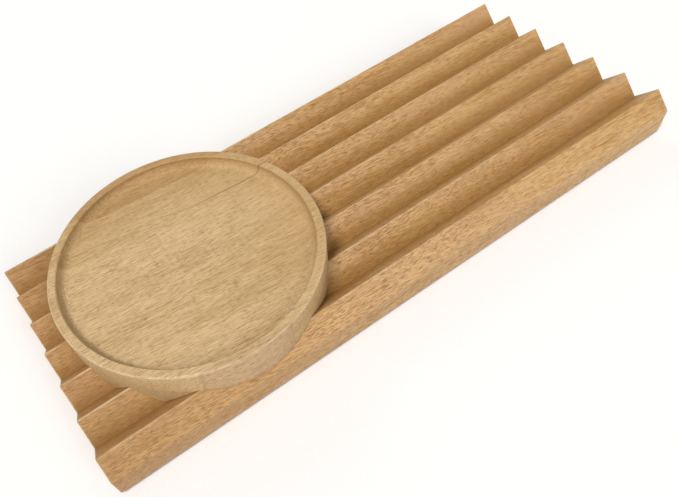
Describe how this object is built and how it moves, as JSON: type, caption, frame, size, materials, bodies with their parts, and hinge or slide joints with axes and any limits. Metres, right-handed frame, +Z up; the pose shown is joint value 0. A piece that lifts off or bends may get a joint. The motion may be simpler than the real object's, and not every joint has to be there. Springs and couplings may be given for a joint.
{
  "type": "desk organizer",
  "caption": "Wooden desk organizer: a board with lengthwise V grooves for pens, and a round shallow dish with a toothed underside that nests in the grooves and slides along them.",
  "frame": {"origin": "middle of the board's footprint, on the surface that the pads stand on", "axes": "+X along the grooves towards the pen end, +Y to the back, +Z up"},
  "size_m": [0.3, 0.124, 0.0335],
  "materials": {
    "beech_board": "oiled satin beech",
    "beech_main_stave": "oiled satin beech",
    "beech_front_stave": "oiled satin beech",
    "beech_back_stave": "oiled satin beech",
    "beech_rear_stave": "oiled satin beech, darker stave",
    "pad_rubber": "matte rubber"
  },
  "bodies": {
    "board": {"base_board": "beech_board", "pad_front_left": "pad_rubber", "pad_front_right": "pad_rubber", "pad_back_left": "pad_rubber", "pad_back_right": "pad_rubber"},
    "dish": {"dish_main_stave": "beech_main_stave", "dish_front_stave": "beech_front_stave", "dish_back_stave": "beech_back_stave", "dish_rear_stave": "beech_rear_stave"}
  },
  "joints": [
    {"name": "dish_slide", "type": "slide", "parent": "board", "child": "dish", "axis": [1, 0, 0], "range_m": [-0.011, 0.169]}
  ]
}
